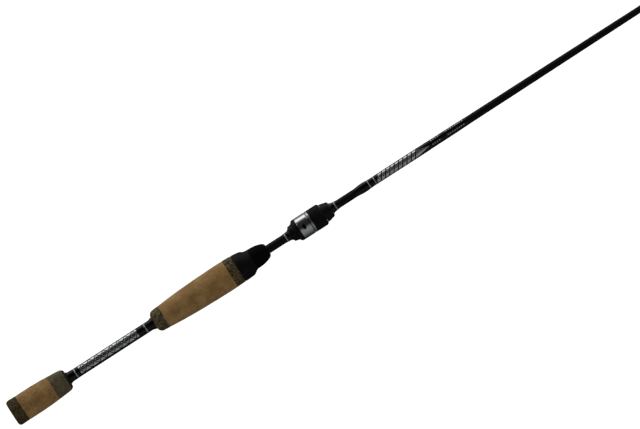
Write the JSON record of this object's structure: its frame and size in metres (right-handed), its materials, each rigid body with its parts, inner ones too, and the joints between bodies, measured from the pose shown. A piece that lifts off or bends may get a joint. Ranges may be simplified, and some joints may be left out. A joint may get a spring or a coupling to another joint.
{
  "type": "ice fishing rod",
  "caption": "Slim spinning rod with split cork grips, exposed blank, two-hood screw-locking reel seat and line guides on one side; the nut turns and drives the front hood.",
  "frame": {"origin": "centre of the flat butt face, on the axis of the blank", "axes": "+X along the blank to the tip, -Z towards the reel foot and the line guides, +Z the back of the rod"},
  "size_m": [1.219, 0.0306, 0.041],
  "materials": {
    "blank": "matte graphite tube, unsanded spiral texture",
    "cork": "sanded natural cork, open pores",
    "burl_cork": "sanded composite burl cork, dark speckle",
    "thread_wrap": "nylon thread under clear epoxy",
    "trim_band": "metallic thread band under clear epoxy",
    "epoxy_coat": "clear gloss epoxy over a black blank with a silver thread pattern",
    "winding_check": "satin black",
    "seat_nylon": "moulded glass-filled nylon, fine matte grain",
    "soft_touch": "soft-touch overmould",
    "liner": "matte cushion",
    "arbor": "rigid foam bushing",
    "polished_metal": "polished, fine turning marks",
    "guide_frame": "stainless wire, dark smoked finish",
    "guide_ceramic": "polished grey ceramic"
  },
  "bodies": {
    "rod": {"blank": "blank", "butt_ring": "burl_cork", "rear_grip_cork": "cork", "rear_grip_front_ring": "burl_cork", "rear_winding_check": "winding_check", "split_rear_wrap": "thread_wrap", "split_rear_band": "trim_band", "split_coat": "epoxy_coat", "split_front_band": "trim_band", "split_front_wrap": "thread_wrap", "main_grip_rear_ring": "burl_cork", "main_grip_cork": "cork", "main_grip_front_ring": "burl_cork", "seat_core": "seat_nylon", "seat_overmould": "soft_touch", "fixed_hood_liner": "liner", "seat_rear_arbors": "arbor", "seat_wrap": "thread_wrap", "seat_wrap_band": "trim_band", "seat_barrel": "seat_nylon", "seat_front_arbor": "arbor", "barrel_collar": "seat_nylon", "front_wrap": "thread_wrap", "front_wrap_band": "trim_band", "handle_wrap": "thread_wrap", "handle_wrap_bands": "trim_band", "decal_coat": "epoxy_coat", "guide_1_frame": "guide_frame", "guide_1_ring": "guide_ceramic", "guide_1_wrap": "thread_wrap", "guide_2_frame": "guide_frame", "guide_2_ring": "guide_ceramic", "guide_2_wrap": "thread_wrap", "guide_3_frame": "guide_frame", "guide_3_ring": "guide_ceramic", "guide_3_wrap": "thread_wrap", "guide_4_frame": "guide_frame", "guide_4_ring": "guide_ceramic", "guide_4_wrap": "thread_wrap", "guide_5_frame": "guide_frame", "guide_5_ring": "guide_ceramic", "guide_5_wrap": "thread_wrap", "guide_6_frame": "guide_frame", "guide_6_ring": "guide_ceramic", "guide_6_wrap": "thread_wrap", "tip_top_frame": "guide_frame", "tip_top_ring": "guide_ceramic", "tip_top_wrap": "thread_wrap"},
    "hood": {"sliding_hood": "seat_nylon", "hood_sleeve": "polished_metal", "sliding_hood_liner": "liner"},
    "nut": {"lock_nut": "seat_nylon", "nut_trim_ring": "polished_metal"}
  },
  "joints": [
    {"name": "hood_slide", "type": "slide", "parent": "rod", "child": "hood", "axis": [-1, 0, 0], "range_m": [0, 0.016]},
    {"name": "nut_spin", "type": "hinge", "parent": "hood", "child": "nut", "pos_m": [0.361, 0, 0], "axis": [-1, 0, 0], "range_deg": [0, 2880]}
  ],
  "couplings": [
    {"joint": "hood_slide", "follows": "nut_spin", "m_per_rad": 0.0003183}
  ]
}
